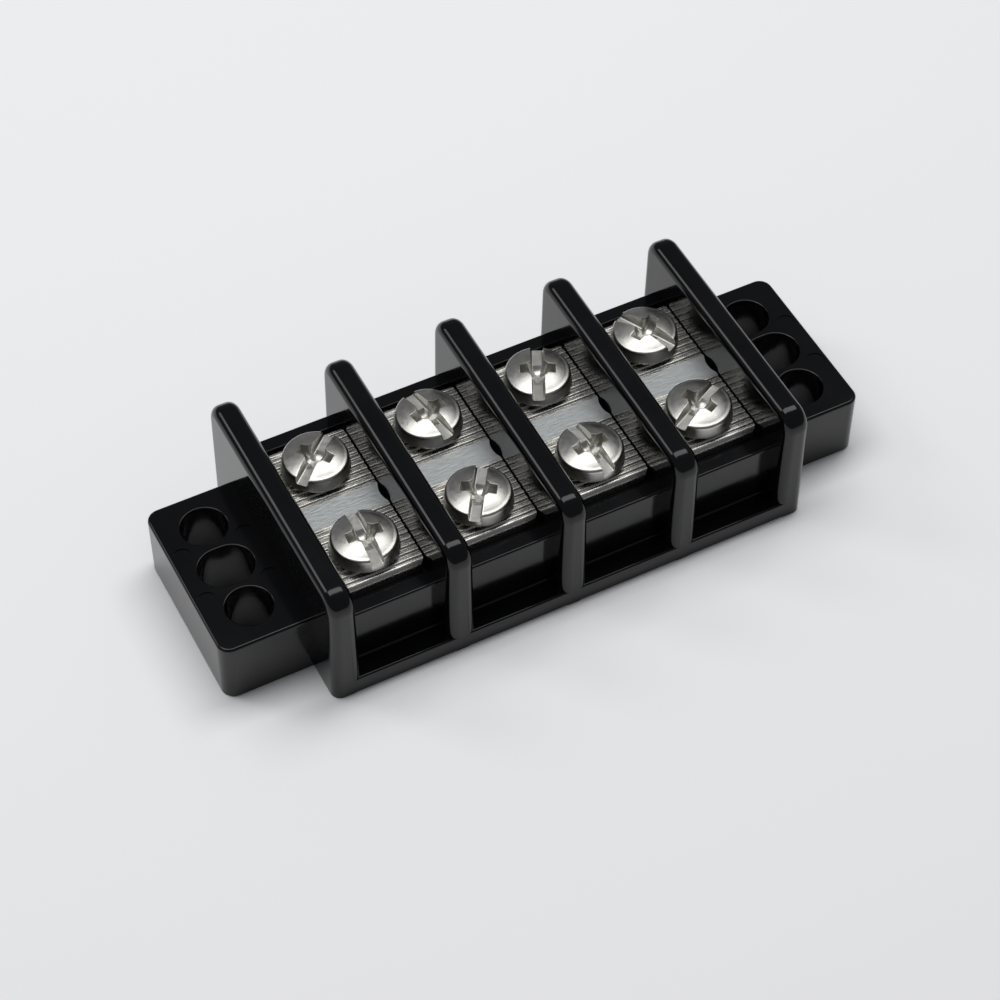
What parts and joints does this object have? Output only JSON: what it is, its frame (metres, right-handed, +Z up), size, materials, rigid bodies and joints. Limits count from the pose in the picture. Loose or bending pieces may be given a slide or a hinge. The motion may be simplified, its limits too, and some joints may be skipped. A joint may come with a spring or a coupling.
{
  "type": "barrier terminal strip",
  "caption": "Screw terminal strip with tall insulating barriers between plated terminal plates and a drilled mounting ear at each end.",
  "frame": {"origin": "centre of the footprint, on the underside", "axes": "+X along the strip, +Z up out of the screws, front is -Y"},
  "size_m": [0.0822, 0.0334, 0.0171],
  "materials": {
    "housing": "glossy black moulded plastic",
    "plate": "bright tin plated",
    "screw": "satin nickel plated"
  },
  "bodies": {
    "strip": {"housing": "housing", "terminal_plate_1": "plate", "terminal_plate_2": "plate", "terminal_plate_3": "plate", "terminal_plate_4": "plate"},
    "screw_front_1_body": {"screw_front_1": "screw"},
    "screw_front_2_body": {"screw_front_2": "screw"},
    "screw_front_3_body": {"screw_front_3": "screw"},
    "screw_front_4_body": {"screw_front_4": "screw"},
    "screw_back_1_body": {"screw_back_1": "screw"},
    "screw_back_2_body": {"screw_back_2": "screw"},
    "screw_back_3_body": {"screw_back_3": "screw"},
    "screw_back_4_body": {"screw_back_4": "screw"}
  },
  "joints": [
    {"name": "screw_front_1_slide", "type": "slide", "parent": "strip", "child": "screw_front_1_body", "axis": [0, 0, 1], "range_m": [-0.0006, 0.003]},
    {"name": "screw_front_2_slide", "type": "slide", "parent": "strip", "child": "screw_front_2_body", "axis": [0, 0, 1], "range_m": [-0.0006, 0.003]},
    {"name": "screw_front_3_slide", "type": "slide", "parent": "strip", "child": "screw_front_3_body", "axis": [0, 0, 1], "range_m": [-0.0006, 0.003]},
    {"name": "screw_front_4_slide", "type": "slide", "parent": "strip", "child": "screw_front_4_body", "axis": [0, 0, 1], "range_m": [-0.0006, 0.003]},
    {"name": "screw_back_1_slide", "type": "slide", "parent": "strip", "child": "screw_back_1_body", "axis": [0, 0, 1], "range_m": [-0.0006, 0.003]},
    {"name": "screw_back_2_slide", "type": "slide", "parent": "strip", "child": "screw_back_2_body", "axis": [0, 0, 1], "range_m": [-0.0006, 0.003]},
    {"name": "screw_back_3_slide", "type": "slide", "parent": "strip", "child": "screw_back_3_body", "axis": [0, 0, 1], "range_m": [-0.0006, 0.003]},
    {"name": "screw_back_4_slide", "type": "slide", "parent": "strip", "child": "screw_back_4_body", "axis": [0, 0, 1], "range_m": [-0.0006, 0.003]}
  ]
}
